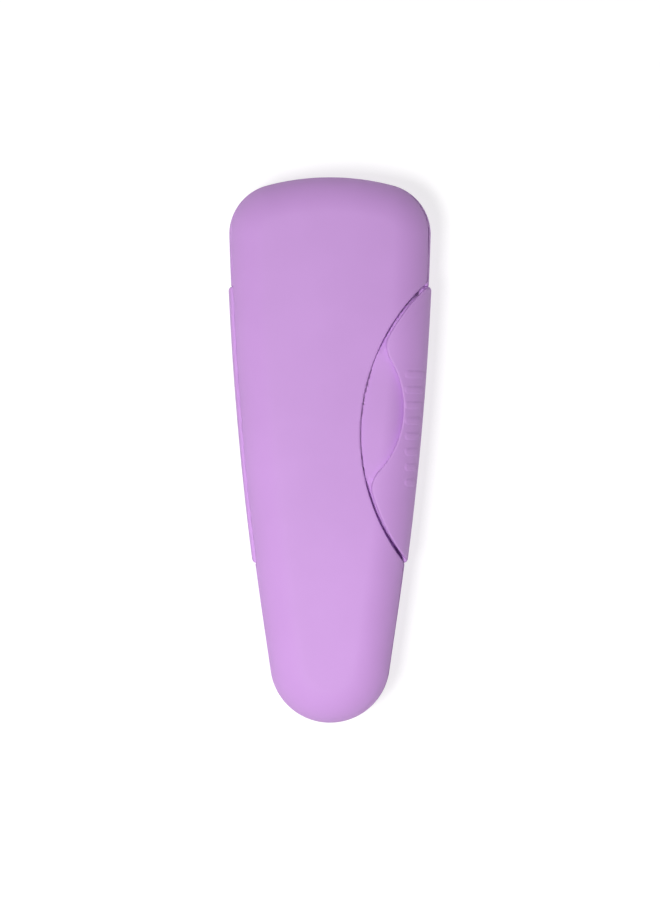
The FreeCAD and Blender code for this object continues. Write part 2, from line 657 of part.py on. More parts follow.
def tuft_places():
    """Rows and columns of tufts over the head, each marked as in the outer ring or not."""
    pitch_x, pitch_y = size("tuft_pitch_x"), size("tuft_pitch_y")
    limit = size("head_half") - size("tuft_margin")
    low, high = size("head_low"), size("head_high")

    def inside(x, along):
        """How deep a place lies inside the head's rounded outline, less the bare margin."""
        overrun = max(low - along, 0, along - high)
        return limit - math.hypot(x, overrun)

    middle = (low + high) / 2
    places = []
    for row in range(-9, 10):
        for column in range(-3, 4):
            x, along = column * pitch_x, middle + row * pitch_y
            depth = inside(x, along)
            if depth > -0.05:
                places.append((x, along - size("pin_y"), depth < 1.9))
    return places


def rods_at(name, places, radius, low, high):
    """One upright bar at each place."""
    return [rod("%s_%d" % (name, n), radius, "%.4f" % x, "%.4f" % y, low,
                "(%s) - (%s)" % (high, low)) for n, (x, y, _) in enumerate(places, 1)]


def brush_stem(places):
    """Replaceable neck and head in one piece, with a blind hole for each tuft."""
    body = doc.addObject("PartDesign::Body", "stem_body")
    plan = brush_plan(body, "stem_plan", "$stem_back", size("knuckle_reach"),
                      size("knuckle_half"), size("neck_half"), size("neck_blend"),
                      size("head_half"), size("head_high"))
    slab = pad(body, plan, "stem_pad", "$stem_front - $stem_back")
    doc.recompute()
    rounded = body.newObject("PartDesign::Fillet", "stem_soften")
    start_y = size("knuckle_reach") - size("pin_y")
    rounded.Base = (slab, ["Edge%d" % n for n, e in enumerate(slab.Shape.Edges, 1)
                           if e.BoundBox.ZLength < 0.01 and e.BoundBox.YMax > start_y + 0.1])
    bind(rounded, Radius="$stem_round")
    tang = box("tang", "-$tang_half", "$tang_half", "$tang_start - $pin_y",
               "$knuckle_reach - $pin_y + 0.5", "$tang_low", "$tang_high - 1.3")
    holes = rods_at("tuft_hole", places, "$tuft_radius + $static_gap", "$hole_floor",
                    "$stem_front + 1")
    return cut("brush_stem", fuse("stem_blank", [body, tang]), group("tuft_holes", holes))


def tuft_anchors(places):
    """Brass plates that hold each tuft down in its hole."""
    return group("tuft_anchors", [
        box("anchor_%d" % n, "%.4f - $anchor_half" % x, "%.4f + $anchor_half" % x,
            "%.4f - $anchor_thick / 2" % y, "%.4f + $anchor_thick / 2" % y,
            "$hole_floor + $static_gap", "$anchor_top") for n, (x, y, _) in enumerate(places, 1)])


# ---------------------------------------------------------------- the whole brush

places = tuft_places()
outer_ring = [p for p in places if p[2]]
centre_field = [p for p in places if not p[2]]
eye_gap = "$pin_radius + $running_gap"
PARTS = [
    back_shell(),
    *grip_halves(),
    pivot_cradle(),
    cradle_screws(),
    hinge_pin(),
    rings("pin_clips", "2.6", "$pin_radius + $static_gap",
          ["-$cheek_outer - 0.65", "$cheek_outer + 0.05"], "0.6"),
    rings("thrust_washers", "$knuckle_radius - 0.3", "$pin_radius + $static_gap",
          ["-$cheek_inner + 0.02", "$cheek_inner - 0.42"], "0.4"),
    detent_leaf(),
    group("leaf_rivets", rivets("rivet", "$rivet_radius")),
    front_shell(),
    swivel_screw(),
    swivel_washer(),
    arm_knuckle(),
    rings("hinge_bushes", "$bush_radius", eye_gap, ["-$knuckle_half", "0.05"],
          "$knuckle_half - 0.05"),
    brush_stem(places),
    group("outer_tufts", rods_at("outer_tuft", outer_ring, "$tuft_radius", "$tuft_root",
                                 "$tuft_tip_outer")),
    group("centre_tufts", rods_at("centre_tuft", centre_field, "$tuft_radius", "$tuft_root",
                                  "$tuft_tip_centre")),
    tuft_anchors(places),
]


def check_and_write():
    """Stops on any failed feature or bad shape, then writes one STEP file for each sub-part."""
    doc.recompute()
    failed = [o.Name for o in doc.Objects if {"Invalid", "Error"} & set(o.State)]
    if failed:
        raise SystemExit("failed features: " + ", ".join(failed))
    os.makedirs("parts", exist_ok=True)
    for part in PARTS:
        part.Label = part.Name
        shape = part.Shape
        if shape.isNull() or not shape.isValid() or not shape.Solids:
            raise SystemExit("bad shape: " + part.Name)
        shape.exportStep("parts/%s.step" % part.Name)
        print("%-16s %3d solids %9.2f mm3" % (part.Name, len(shape.Solids), shape.Volume))


check_and_write()
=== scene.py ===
# %% [markdown]
# # A folding travel toothbrush that is its own case
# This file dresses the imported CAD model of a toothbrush. Closed, the brush is a tapered pebble of
# lavender plastic; open, a cover swings aside and a brush arm folds out of the back. The CAD parts
# stay where they are, and everything made here is placed in their frame, in metres: +Y runs to the
# wide end of the case and +Z comes out of its front face.

# %% Load the frame
import math
import random

import bmesh
import bpy
import numpy as np
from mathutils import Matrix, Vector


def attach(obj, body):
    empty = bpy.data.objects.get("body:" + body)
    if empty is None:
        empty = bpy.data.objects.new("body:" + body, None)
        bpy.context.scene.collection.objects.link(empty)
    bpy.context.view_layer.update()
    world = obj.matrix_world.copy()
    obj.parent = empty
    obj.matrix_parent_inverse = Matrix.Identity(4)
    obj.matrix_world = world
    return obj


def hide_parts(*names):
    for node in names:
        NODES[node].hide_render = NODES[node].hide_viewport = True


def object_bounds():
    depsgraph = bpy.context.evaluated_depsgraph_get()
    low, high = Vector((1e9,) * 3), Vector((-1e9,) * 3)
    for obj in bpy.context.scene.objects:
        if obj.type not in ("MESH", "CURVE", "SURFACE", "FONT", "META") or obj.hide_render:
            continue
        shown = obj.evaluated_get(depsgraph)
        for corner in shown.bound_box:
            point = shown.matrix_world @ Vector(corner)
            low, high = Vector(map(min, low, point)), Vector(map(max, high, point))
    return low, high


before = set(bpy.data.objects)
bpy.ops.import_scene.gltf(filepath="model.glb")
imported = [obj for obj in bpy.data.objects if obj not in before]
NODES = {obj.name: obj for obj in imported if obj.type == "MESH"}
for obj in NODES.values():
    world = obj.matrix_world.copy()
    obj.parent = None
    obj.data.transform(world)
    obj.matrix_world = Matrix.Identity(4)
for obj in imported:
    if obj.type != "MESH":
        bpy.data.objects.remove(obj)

import openvdb
from mathutils import Vector

CAD_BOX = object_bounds()
MM = 0.001
print("CAD box, mm:", [[round(c / MM, 1) for c in corner] for corner in CAD_BOX])

# %% [markdown]
# ## The case as a distance field
# The two shells and the two grips are injection mouldings: smooth skins of even thickness, with a
# small radius on every edge because a mould can't hold a sharp one. Modelled as polygons, each
# radius would be a bevel that has to survive crossing curves. A distance field avoids that. It is
# a function that says how far a point is from a surface, negative inside. Shells, cuts and
# roundings then become arithmetic on numbers, and the mesh is drawn once at the end where the
# number is zero. Millimetres are used in here and turned to metres when a mesh is made.

# %% The driving sizes of the case, mm
LENGTH, NARROW_R, WIDE_R = 110.0, 12.1, 50.5
CORNER_R, SIDE_R = 10.1, 658.0
TAPER, TAPER_END = math.radians(8.33), -32.9
BACK_Z, FRONT_Z, CROWN_R = 0.55, 23.45, 130.0
FRONT_ROUND, BACK_ROUND = 7.5, 5.0
RIM_Z, RIM_GAP = 16.5, 0.2              # the parting line, and the cover's play above it
WALL, MOULDED_EDGE = 2.2, 0.25          # the wall, and the radius left on its edges
PIVOT_Y = NARROW_R - LENGTH / 2         # the cover swivels about the narrow end's centre
PIN_Y, PIN_Z = -44.0, 8.0               # the brush folds on a pin across the case
print("case, mm:", LENGTH, "long and", round(FRONT_Z - BACK_Z, 2), "from back to front")

# %% [markdown]
# Two fields are joined with a maximum (keep what is in both) or a minimum (keep what is in
# either). The rounded versions below blend the two over a radius, and that one idea gives every
# soft edge on the case.


# %% Joining fields
def both(a, b, radius=0.0):
    """What lies in a and in b, with the outside edge between them rounded."""
    sharp = np.maximum(a, b)
    if not radius:
        return sharp
    over = np.hypot(np.maximum(a + radius, 0), np.maximum(b + radius, 0))
    return np.minimum(sharp, -radius) + over


def either(a, b, radius=0.0):
    """What lies in a or in b, with the inside corner between them filled."""
    return -both(-a, -b, radius)


def bar(x, y, z, place, radius, low, high):
    """An upright round bar."""
    across = np.hypot(x - place[0], y - place[1]) - radius
    return np.maximum(across, np.maximum(low - z, z - high))


print("A point 1 mm behind two faces lies", round(-float(both(-1.0, -1.0, 3.0)), 2),
      "mm inside once their edge is rounded to 3 mm")

# %% [markdown]
# The outline is five tangent curves a side: the round narrow end, a straight taper, a very slow
# bow, a corner and the arc of the wide end. Where neighbours are tangent they share a normal, so
# the distance needs no search: the point's place between those normals picks the curve.


# %% The outline
def crossing(a, reach_a, b, reach_b):
    """Where two circles cross, on the left of the line from a to b."""
    between = b - a
    along = (reach_a ** 2 - reach_b ** 2 + between.length ** 2) / (2 * between.length)
    across = math.sqrt(reach_a ** 2 - along ** 2)
    unit = between.normalized()
    return a + unit * along + Vector((-unit.y, unit.x)) * across


LOW_C, HIGH_C = Vector((0, PIVOT_Y)), Vector((0, LENGTH / 2 - WIDE_R))
TAPER_NORMAL = Vector((math.cos(TAPER), -math.sin(TAPER)))
TAPER_WAY = Vector((math.sin(TAPER), math.cos(TAPER)))
TAPER_FOOT = LOW_C + TAPER_NORMAL * NARROW_R
TAPER_TOP = TAPER_FOOT + TAPER_WAY * ((TAPER_END - TAPER_FOOT.y) / TAPER_WAY.y)
SIDE_C = TAPER_TOP - TAPER_NORMAL * SIDE_R
CORNER_C = crossing(SIDE_C, SIDE_R - CORNER_R, HIGH_C, WIDE_R - CORNER_R)


def outline(x, y):
    """Signed distance to the outline, the same on the left and right."""
    x = np.abs(x)

    def along(origin, way):
        return (x - origin.x) * way.x + (y - origin.y) * way.y

    def circle(centre, radius):
        return np.hypot(x - centre.x, y - centre.y) - radius

    def left_of(way):
        return Vector((-way.y, way.x))

    into_corner = (CORNER_C - SIDE_C).normalized()
    out_of_corner = (CORNER_C - HIGH_C).normalized()
    wide = np.where(along(CORNER_C, left_of(out_of_corner)) < 0,
                    circle(CORNER_C, CORNER_R), circle(HIGH_C, WIDE_R))
    upper = np.where(along(SIDE_C, left_of(into_corner)) < 0, circle(SIDE_C, SIDE_R), wide)
    sides = np.where(along(TAPER_TOP, TAPER_WAY) < 0, along(TAPER_FOOT, TAPER_NORMAL), upper)
    return np.where(along(TAPER_FOOT, TAPER_WAY) < 0, circle(LOW_C, NARROW_R), sides)


def case(x, y, z, side=0.0, front=None):
    """The whole closed case, grown or shrunk at its sides and its crowned front."""
    front = side if front is None else front
    plan = outline(x, y) - side
    crown = np.hypot(x, z - (FRONT_Z - CROWN_R)) - (CROWN_R + front)
    domed = both(plan, crown, FRONT_ROUND + side)
    return both(domed, (BACK_Z - side) - z, BACK_ROUND + side)


print("corner centre, mm:", [round(c, 2) for c in CORNER_C])

# %% [markdown]
# A field becomes a mesh in three steps. It is sampled on a grid, OpenVDB draws quads near its zero,
# and then each vertex slides down the field's slope until it sits exactly on the surface. The same
# slope is the surface's normal, so it is stored on the mesh, and the shading shows no facets even
# where the quads are larger than an edge's radius.

# %% From field to mesh
STEP = 0.37      # the grid's step on the shells, mm
BAND = 3                                # the grid's distances are cut off this many steps away
SLIDES, LEAST_SLOPE, NO_LENGTH = 4, 0.05, 1e-9


def slope(field, points, reach=0.02):
    """The field's gradient at each point, by differences."""
    found = np.empty_like(points)
    for axis in range(3):
        shift = np.zeros(3)
        shift[axis] = reach
        ahead, behind = points + shift, points - shift
        found[:, axis] = (field(*ahead.T) - field(*behind.T)) / (2 * reach)
    return found


def moulding(name, field, low, high, step):
    """Meshes the zero surface of a field inside a box given in millimetres."""
    axes = [np.arange(a - 2 * step, b + 3 * step, step) for a, b in zip(low, high)]
    x, y, z = np.meshgrid(*axes, indexing="ij", sparse=True)
    values = np.broadcast_to(field(x, y, z), [len(a) for a in axes]).astype(np.float32)
    grid = openvdb.FloatGrid(background=BAND * step)
    grid.copyFromArray(np.clip(values, -BAND * step, BAND * step))
    points, quads = grid.convertToQuads(isovalue=0.0)
    points = points.astype(float) * step + np.array([a[0] for a in axes])
    for _ in range(SLIDES):
        way = slope(field, points)
        size = np.maximum((way ** 2).sum(1), LEAST_SLOPE)
        move = field(*points.T)[:, None] * way / size[:, None]
        points -= np.clip(move, -step / 2, step / 2)
    normals = slope(field, points)
    normals /= np.maximum(np.linalg.norm(normals, axis=1), NO_LENGTH)[:, None]
    mesh = bpy.data.meshes.new(name)
    mesh.from_pydata(points * MM, [], quads.tolist())
    mesh.validate()
    mesh.polygons.foreach_set("use_smooth", [True] * len(mesh.polygons))
    mesh.normals_split_custom_set_from_vertices(normals.tolist())
    piece = bpy.data.objects.new(name, mesh)
    bpy.context.collection.objects.link(piece)
    print(name, len(mesh.vertices), "vertices")
    return piece


print("grid step, mm:", STEP)

# %% [markdown]
# ## The crescent
# On the right, a flange of the grip laps over the front cover along an arc. Under it the cover is
# 0.95 mm lower, so that it can slide out when the thumb pushes the step at the arc. Both edges are
# parts of circles about one centre, 0.6 mm apart. The flange also has a shallow thumb notch cut
# from it, whose two corners are rounded in plan. Above and below the notch the flange runs close
# along the step, and there the cover has a trough, which makes the gap deep enough to stay dark.
# As a cut with walls it would be narrower than two steps of the grid and come out ragged, so it is
# a soft dip in the ledge instead, and it fades out towards the notch.

# %% The crescent and the thumb notch
CRESCENT = (47.8, 3.0)
FLANGE_R, LEDGE_R, LEDGE_DEPTH = 41.1, 41.7, 0.95
NOTCH, NOTCH_R, NOTCH_CORNER = (-3.8, 8.4), 18.5, 2.4
GAP_WIDTH, GAP_DEPTH, TROUGH_END = 0.6, 0.75, 1.9       # the end is in gap widths
NOTCH_FADE, LEFT_AT_NOTCH = 3, 0.3                      # mm, and a share of the depth
GRIP_SIDE, GRIP_FRONT, SEAT_DEPTH = 0.55, 0.3, 0.75
GRIP_LOW, GRIP_HIGH = -22.8, 33.0


def round_plan(x, y, centre, radius):
    return np.hypot(x - centre[0], y - centre[1]) - radius


def flange_plan(x, y):
    """The flange seen from the front: the crescent's disc less the thumb notch."""
    return both(round_plan(x, y, CRESCENT, FLANGE_R), -round_plan(x, y, NOTCH, NOTCH_R),
                NOTCH_CORNER)


def trough(x, y, from_step):
    """The extra depth along the step, which fades out towards the thumb notch."""
    past_notch = np.clip(round_plan(x, y, NOTCH, NOTCH_R) / NOTCH_FADE + LEFT_AT_NOTCH, 0, 1)
    return GAP_DEPTH * past_notch * np.clip(TROUGH_END - from_step / GAP_WIDTH, 0, 1)


def grip_zone(y):
    """The length of the case that the grips cover."""
    return np.maximum(GRIP_LOW - y, y - GRIP_HIGH)


print("grips, mm:", round(GRIP_HIGH - GRIP_LOW, 1), "long; gap:", LEDGE_DEPTH + GAP_DEPTH, "deep")

# %% [markdown]
# ## The slot
# The brush folds out through a slot of its own shape in the back, and through a mouth in the
# narrow end. In plan it is a long rounded head on a straight neck.

# %% The slot and the mouth
SLOT_HALF, SLOT_HEAD, SLOT_BLEND = 5.3, 9.3, 5.0
HEAD_LOW, SLOT_HEAD_HIGH = PIN_Y + 64.0, PIN_Y + 82.4
SLOT_TOP, MOUTH_TOP = BACK_Z + WALL + 3, 12.5


def slot(x, y, z):
    """The empty space that the brush swings through, from below the case to above its back."""
    head = np.hypot(x, y - np.clip(y, HEAD_LOW, SLOT_HEAD_HIGH)) - SLOT_HEAD
    neck = np.maximum(np.abs(x) - SLOT_HALF, y - HEAD_LOW)
    back_cut = np.maximum(either(head, neck, SLOT_BLEND), z - SLOT_TOP)
    mouth = np.maximum(np.maximum(np.abs(x) - SLOT_HALF, y - PIN_Y), z - MOUTH_TOP)
    return np.minimum(back_cut, mouth)


print("slot, mm:", 2 * SLOT_HALF, "wide at its neck and", 2 * SLOT_HEAD, "at its head")

# %% [markdown]
# ## Front cover
# This is the shallow half of the case. Its field reads like the drawing: the case form, lowered
# inside the arc, trimmed at the parting line, hollowed by the same form moved in by the wall, with
# a boss for the swivel screw and the small post whose peg stops the swing. Each cut names the
# radius of the edge that it leaves.

# %% Build the front cover
STOP_R, STOP_ANGLE = 5.5, math.radians(-55)     # the peg's place about the swivel
PEG_R, STOP_POST_R, PEG_LOW = 0.75, 1.25, 15.4
BOSS_R, SCREW_R, SCREW_TOP, SCREW_EDGE = 4.2, 1.27, 20.6, 0.15
COVER_LOW, BOSS_TOP = RIM_Z + RIM_GAP, FRONT_Z - 1.5
COVER_RIM_EDGE, COVER_INSIDE_EDGE, BOSS_FILLET = 0.22, 0.2, 0.4
BURIED = 1                                      # how far a peg or post runs into its wall


def front_cover_field(x, y, z):
    skin = case(x, y, z)
    from_step = -round_plan(x, y, CRESCENT, LEDGE_R)
    beside_step = either(from_step, skin + LEDGE_DEPTH + trough(x, y, from_step))
    shell = both(skin, beside_step, MOULDED_EDGE)
    shell = both(shell, COVER_LOW - z, COVER_RIM_EDGE)
    shell = both(shell, -(skin + WALL), COVER_INSIDE_EDGE)
    stop = (STOP_R * math.cos(STOP_ANGLE), PIVOT_Y + STOP_R * math.sin(STOP_ANGLE))
    boss = bar(x, y, z, (0, PIVOT_Y), BOSS_R, COVER_LOW, BOSS_TOP)
    post = bar(x, y, z, stop, STOP_POST_R, COVER_LOW, BOSS_TOP)
    shell = either(shell, np.minimum(boss, post), BOSS_FILLET)
    shell = both(shell, -bar(x, y, z, (0, PIVOT_Y), SCREW_R, 0, SCREW_TOP), SCREW_EDGE)
    return np.minimum(shell, bar(x, y, z, stop, PEG_R, PEG_LOW, COVER_LOW + BURIED))


BOX_SIDE, BOX_END = 21.2, LENGTH / 2            # the boxes that the shells are meshed in
COVER_BOX_LOW, COVER_BOX_HIGH = 15.2, 23.6
front_cover = moulding("front_cover", front_cover_field, (-BOX_SIDE, -BOX_END, COVER_BOX_LOW),
                       (BOX_SIDE, BOX_END, COVER_BOX_HIGH), STEP)
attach(front_cover, "cover")
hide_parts("front_shell")

# %% [markdown]
# ## Back shell
# The deep half. It is thinned by the depth of the grips over the length that they cover, so that
# they sit in a seat and stand only half a millimetre proud. Two posts inside take the cradle's
# screws, and the slot and mouth get the same soft edge that a mould gives.

# %% Build the back shell
POST, POST_R, POST_TOP, POST_FILLET = (9.6, -31.0), 1.9, 7.0, 0.5
SEAT_PLAY, SLOT_EDGE = 0.03, 0.8
BACK_BOX_HIGH = 16.6


def back_shell_field(x, y, z):
    skin = case(x, y, z)
    seat = either(-(grip_zone(y) - SEAT_PLAY), skin + SEAT_DEPTH + SEAT_PLAY)
    shell = both(skin, seat)
    shell = both(shell, z - RIM_Z, MOULDED_EDGE)
    shell = both(shell, -(skin + WALL), MOULDED_EDGE)
    posts = bar(np.abs(x), y, z, POST, POST_R, BACK_Z + BURIED, POST_TOP)
    shell = either(shell, np.maximum(posts, skin + BURIED), POST_FILLET)
    return both(shell, -slot(x, y, z), SLOT_EDGE)


back_case = moulding("back_case", back_shell_field, (-BOX_SIDE, -BOX_END, 0),
                     (BOX_SIDE, BOX_END, BACK_BOX_HIGH), STEP)
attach(back_case, "handle")
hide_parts("back_shell")

# %% [markdown]
# ## Grips
# Two thin mouldings wrap the back and sides. The right one runs on over the front as the flange,
# and its lip has twice the radius of the shells' rims, because the thumb slides over it. Low raised
# ribs on its flank are added to the field as a height, which keeps their edges as soft as the rest.
# The last line of each field cuts its grip off on the other side of the case.

# %% Build the grips
LIP_ROUND, END_ROUND, UNDER_ROUND, GRIP_SLOT_EDGE = 0.5, 0.8, 0.3, 0.4
RIB_COUNT, RIB_PITCH, RIB_FIRST = 8, 3.1, -6.55
RIB_FROM, RIB_LOW, RIB_R = 15.7, 17.9, 0.62
RIB_HEIGHT, RIB_SLOPE = 0.17, 0.45      # the slope is how wide a rib's soft edge is
GRIP_STEP, GRIP_BOX_HIGH = STEP * 0.8, FRONT_Z + 0.4


def rib_height(x, y, z):
    """How far the ribs raise the skin: a row of rounded bars from the front over the flank."""
    nearest = np.clip(np.round((y - RIB_FIRST) / RIB_PITCH), 0, RIB_COUNT - 1)
    across = y - (RIB_FIRST + nearest * RIB_PITCH)
    beyond = np.maximum(np.maximum(RIB_FROM - x, RIB_LOW - z), 0)
    gap = np.hypot(beyond, across) - RIB_R
    rise = np.clip(0.5 - gap / RIB_SLOPE, 0, 1)
    return RIB_HEIGHT * rise * rise * (3 - 2 * rise)


def grip_skin(x, y, z):
    """The grips' common outside, ended softly at both ends and let into the case."""
    skin = case(x, y, z, GRIP_SIDE, GRIP_FRONT)
    return both(skin, grip_zone(y), END_ROUND)


def left_grip_field(x, y, z):
    shell = both(grip_skin(x, y, z), z - RIM_Z, MOULDED_EDGE)
    shell = both(shell, -(case(x, y, z) + SEAT_DEPTH), UNDER_ROUND)
    shell = both(shell, -slot(x, y, z), GRIP_SLOT_EDGE)
    return np.maximum(shell, x)


def right_grip_field(x, y, z):
    skin = grip_skin(x, y, z) - rib_height(x, y, z)
    reach = np.minimum(z - RIM_Z, flange_plan(x, y))
    shell = both(skin, reach, LIP_ROUND)
    shell = both(shell, -(case(x, y, z) + SEAT_DEPTH), UNDER_ROUND)
    shell = both(shell, -slot(x, y, z), GRIP_SLOT_EDGE)
    return np.maximum(shell, -x)


GRIPS = []
for name, node, field, left, right, top in (
        ("left_side_grip", "left_grip", left_grip_field, -BOX_SIDE, -SLOT_HALF, RIM_Z),
        ("right_side_grip", "right_grip", right_grip_field, SLOT_HALF, BOX_SIDE, GRIP_BOX_HIGH)):
    grip = moulding(name, field, (left, GRIP_LOW, 0), (right, GRIP_HIGH, top), GRIP_STEP)
    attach(grip, "handle")
    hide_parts(node)
    GRIPS.append(grip)

# %% [markdown]
# ## Hinged root of the arm
# A short wedge with an eye for the hinge pin. It drops to the level of the case's back and holds
# the stem's tang. Its side view is drawn with straight lines and one arc, then given 0.6 mm
# edges, as it would be moulded, so that a fingernail can lift it without catching.

# %% Build the hinged root
KNUCKLE_R, KNUCKLE_HALF, REACH = 4.0, 4.2, 24.0
STEM_BACK, STEM_FRONT = 0.5, 4.8
RAMP_FROM, RAMP_TO = 13.5, 20           # where its underside drops to the stem's, from the pin
RAMP_FILLET, UNDER_EDGE, ROOT_EDGE = 1.5, 0.8, 0.6
BUSH_BORE, BORE_EDGE = 2.3, 0.2
SOCKET_START, TANG_HALF, TANG_LOW, TANG_HIGH = 16.3, 2.22, 2.58, 3.52
ROOT_STEP = STEP * 0.75


def past(y, z, start, end):
    """Distance to the right of the line from start to end in the side view."""
    way = (Vector(end) - Vector(start)).normalized()
    return (y - start[0]) * way.y - (z - start[1]) * way.x


def root_field(x, y, z):
    eye = np.hypot(y - PIN_Y, z - PIN_Z) - KNUCKLE_R
    ramp = past(y, z, (PIN_Y + RAMP_FROM, PIN_Z - KNUCKLE_R), (PIN_Y + RAMP_TO, STEM_BACK))
    under = both(either(PIN_Z - KNUCKLE_R - z, ramp, RAMP_FILLET), STEM_BACK - z, UNDER_EDGE)
    top = past(y, z, (PIN_Y + REACH, STEM_FRONT), (PIN_Y, PIN_Z + KNUCKLE_R))
    wedge = np.maximum(both(under, top), np.maximum(PIN_Y - y, y - (PIN_Y + REACH)))
    root = both(np.minimum(eye, wedge), np.abs(x) - KNUCKLE_HALF, ROOT_EDGE)
    bore = np.hypot(y - PIN_Y, z - PIN_Z) - BUSH_BORE
    socket = np.maximum(np.abs(x) - TANG_HALF, np.maximum(TANG_LOW - z, z - TANG_HIGH))
    socket = np.maximum(socket, PIN_Y + SOCKET_START - y)
    return both(both(root, -bore, BORE_EDGE), -socket)


arm_root = moulding("arm_root", root_field, (-KNUCKLE_HALF, PIN_Y - KNUCKLE_R, STEM_BACK),
                    (KNUCKLE_HALF, PIN_Y + REACH, PIN_Z + KNUCKLE_R), ROOT_STEP)
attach(arm_root, "brush_arm")
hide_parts("arm_knuckle")

# %% [markdown]
# ## Stem and head
# The stem is one moulding: a neck that carries on from the root, an easy flare and a long rounded
# head. It is drilled with a blind hole for each tuft, in rows and columns, with the bare margin
# that a real head keeps so that its plastic doesn't split when the tufts are driven in.

# %% Where the tufts stand
NECK_HALF, NECK_START, NECK_BLEND = 3.6, 40.0, 6.0
HEAD_HALF, HEAD_HIGH = 8.2, PIN_Y + 81.8
PITCH_X, PITCH_Y, MARGIN = 2.15, 2.25, 1.65
SLACK, OUTER_RING = 0.05, 1.9           # let into the margin; how wide the outer ring is
TUFT_R, HOLE_R, HOLE_FLOOR = 0.8, 0.82, 1.7
HEAD_MIDDLE = (HEAD_LOW + HEAD_HIGH) / 2


def margin_left(x, y):
    """How much plastic lies between a place and the bare margin round the head."""
    overrun = np.maximum(np.maximum(HEAD_LOW - y, y - HEAD_HIGH), 0)
    return HEAD_HALF - MARGIN - np.hypot(x, overrun)


PLACES = [(column * PITCH_X, HEAD_MIDDLE + row * PITCH_Y)       # a grid that covers the head
          for row in range(-9, 10) for column in range(-3, 4)]
TUFTS = [place for place in PLACES if margin_left(*place) > -SLACK]
OUTER = [place for place in TUFTS if margin_left(*place) < OUTER_RING]
CENTRE = [place for place in TUFTS if margin_left(*place) >= OUTER_RING]
print(len(OUTER), "outer tufts and", len(CENTRE), "in the centre")

# %% Build the stem
STEM_EDGE, HOLE_EDGE, NO_HOLE = 1.1, 0.08, 1.0
TANG_START, TANG_PLAY, TANG_OVERLAP = 16.5, 0.02, 0.5
STEM_STEP = 0.22


def stem_field(x, y, z):
    head = np.hypot(x, y - np.clip(y, HEAD_LOW, HEAD_HIGH)) - HEAD_HALF
    narrowing = np.clip((PIN_Y + NECK_START - y) / (NECK_START - REACH), 0, 1)
    half = NECK_HALF + (KNUCKLE_HALF - NECK_HALF) * narrowing
    neck = np.maximum(np.abs(x) - half, y - HEAD_LOW)
    plan = either(head, neck, NECK_BLEND)
    slab = both(both(plan, z - STEM_FRONT, STEM_EDGE), STEM_BACK - z, STEM_EDGE)
    slab = np.maximum(slab, PIN_Y + REACH - y)
    tang = np.maximum(np.abs(x) - TANG_HALF, np.maximum(TANG_LOW - z, z - TANG_HIGH)) + TANG_PLAY
    tang_end = PIN_Y + REACH + TANG_OVERLAP
    tang = np.maximum(tang, np.maximum(PIN_Y + TANG_START - y, y - tang_end))
    row = np.round((y - HEAD_MIDDLE) / PITCH_Y) * PITCH_Y + HEAD_MIDDLE
    column = np.round(x / PITCH_X) * PITCH_X
    hole = np.maximum(np.hypot(x - column, y - row) - HOLE_R, HOLE_FLOOR - z)
    hole = np.where(margin_left(column, row) > -SLACK, hole, NO_HOLE)
    return both(np.minimum(slab, tang), -hole, HOLE_EDGE)


stem = moulding("stem", stem_field, (-HEAD_HALF, PIN_Y + TANG_START, STEM_BACK),
                (HEAD_HALF, HEAD_HIGH + HEAD_HALF, STEM_FRONT), STEM_STEP)
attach(stem, "brush_arm")
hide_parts("brush_stem")

# %% [markdown]
# ## Bristles
# Each tuft is a bundle of nylon filaments, about 0.2 mm thick, folded over a brass plate. They
# stand hexagonally packed in the hole and spread a little on the way up. Their tips are ground
# off and are never quite level. A filament is modelled as a thin five-sided tube, and the whole
# group is one mesh, because thousands of objects would be slow.

# %% Build the tufts
FILAMENT_R, FILAMENT_SIDES, PACKING, ROOT_Z = 0.1, 5, 0.214, 3.0
OUTER_TIP, CENTRE_TIP, TIP_WEAR = 15.4, 14.8, 0.1
TUFT_LEAN, LEAST_SPLAY, MOST_SPLAY = 0.08, 0.1, 0.4
FILAMENT_RINGS = ((0, 1), (0.45, 1), (0.96, 1), (1, 0.82))     # share of height, of radius


def packed_places(reach):
    """Filament places in a tuft: a triangular lattice clipped to a circle."""
    rows = range(-4, 5)                 # four rows either way reach past the hole
    lattice = [(PACKING * (i + j / 2), PACKING * j * math.sqrt(3) / 2) for i in rows for j in rows]
    return [place for place in lattice if math.hypot(*place) <= reach]


def filament(mesh, root, tip, top, turn):
    """One narrow tube from the root to its tip, a little narrower at the top."""
    corners = [turn + math.tau * k / FILAMENT_SIDES for k in range(FILAMENT_SIDES)]
    rings = []
    for share, radius in FILAMENT_RINGS:
        centre = root.lerp(tip, share * share)
        level = ROOT_Z + (top - ROOT_Z) * share
        rings.append([mesh.verts.new(Vector((
            centre.x + FILAMENT_R * radius * math.cos(corner),
            centre.y + FILAMENT_R * radius * math.sin(corner), level)) * MM)
            for corner in corners])
    for low, high in zip(rings, rings[1:]):
        for k in range(FILAMENT_SIDES):
            after = (k + 1) % FILAMENT_SIDES
            side = mesh.faces.new((low[k], low[after], high[after], high[k]))
            side.smooth = True
    mesh.faces.new(rings[-1])
    mesh.faces.new(rings[0][::-1])


def tuft_mesh(name, places, tip_z, seed):
    """The filaments of every tuft in one mesh."""
    chance = random.Random(seed)
    mesh = bmesh.new()
    for place in places:
        lean = Vector((chance.gauss(0, TUFT_LEAN), chance.gauss(0, TUFT_LEAN)))
        for off in packed_places(TUFT_R - FILAMENT_R):
            root = Vector(place) + Vector(off)
            tip = root + Vector(off) * chance.uniform(LEAST_SPLAY, MOST_SPLAY) + lean
            filament(mesh, root, tip, tip_z - abs(chance.gauss(0, TIP_WEAR)),
                     chance.uniform(0, math.tau))
    data = bpy.data.meshes.new(name)
    mesh.to_mesh(data)
    mesh.free()
    piece = bpy.data.objects.new(name, data)
    bpy.context.collection.objects.link(piece)
    print(name, len(data.polygons), "faces")
    return piece


